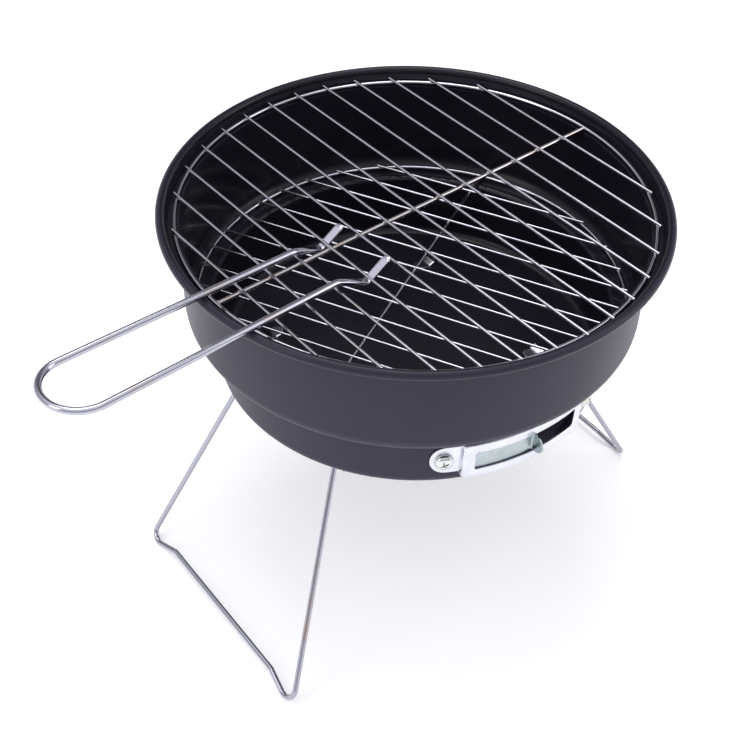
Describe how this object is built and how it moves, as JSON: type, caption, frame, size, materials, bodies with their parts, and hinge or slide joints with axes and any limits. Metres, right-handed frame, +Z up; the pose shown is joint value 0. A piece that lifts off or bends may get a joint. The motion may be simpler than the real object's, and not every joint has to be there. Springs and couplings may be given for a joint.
{
  "type": "portable charcoal grill",
  "caption": "Round tabletop charcoal grill bowl with wire cooking and charcoal grates, lift-off grate handle, sliding air vent and two folding wire legs.",
  "frame": {"origin": "on the table under the middle of the bowl, at the height that the feet rest on", "axes": "+Z up along the bowl's axis, +X across the two legs with the grate handle towards -X, vent facing about -Y"},
  "size_m": [0.356, 0.26, 0.2325],
  "materials": {
    "bowl_paint": "satin dark grey, glossy inside",
    "chrome_wire": "bright plated wire",
    "zinc_plate": "bright zinc plating",
    "screw_chrome": "bright plated screw"
  },
  "bodies": {
    "bowl": {"bowl": "bowl_paint", "vent_frame": "zinc_plate", "vent_screw_left": "screw_chrome", "vent_screw_right": "screw_chrome", "vent_nut_left": "zinc_plate", "vent_nut_right": "zinc_plate", "leg_strap_right_front": "zinc_plate", "leg_strap_right_back": "zinc_plate", "leg_strap_left_back": "zinc_plate", "leg_strap_left_front": "zinc_plate"},
    "vent_slider": {"vent_slider": "zinc_plate"},
    "cooking_grate": {"cooking_grate_ring": "chrome_wire", "cooking_grate_bars": "chrome_wire", "cooking_grate_spine": "chrome_wire"},
    "charcoal_grate": {"charcoal_grate_ring": "chrome_wire", "charcoal_grate_bars": "chrome_wire", "charcoal_grate_spine": "chrome_wire"},
    "grate_handle": {"grate_handle": "chrome_wire"},
    "leg_left": {"leg_left": "chrome_wire"},
    "leg_right": {"leg_right": "chrome_wire"}
  },
  "joints": [
    {"name": "leg_left_fold", "type": "hinge", "parent": "bowl", "child": "leg_left", "pos_m": [-0.075, 0.0025, 0.11985], "axis": [0, -1, 0], "range_deg": [0, 118]},
    {"name": "leg_right_fold", "type": "hinge", "parent": "bowl", "child": "leg_right", "pos_m": [0.069, 0.0025, 0.11985], "axis": [0, 1, 0], "range_deg": [0, 95]},
    {"name": "vent_slider_turn", "type": "hinge", "parent": "bowl", "child": "vent_slider", "pos_m": [0, 0, 0.1422], "axis": [0, 0, 1], "range_deg": [0, 13.5]},
    {"name": "cooking_grate_lift", "type": "slide", "parent": "bowl", "child": "cooking_grate", "axis": [0, 0, 1], "range_m": [0, 0.12]},
    {"name": "charcoal_grate_lift", "type": "slide", "parent": "bowl", "child": "charcoal_grate", "axis": [0, 0, 1], "range_m": [0, 0.04]},
    {"name": "grate_handle_tilt", "type": "hinge", "parent": "cooking_grate", "child": "grate_handle", "pos_m": [-0.05418, -0.01358, 0.2176], "axis": [-0.0419, 0.9991, 0], "range_deg": [0, 60]}
  ]
}
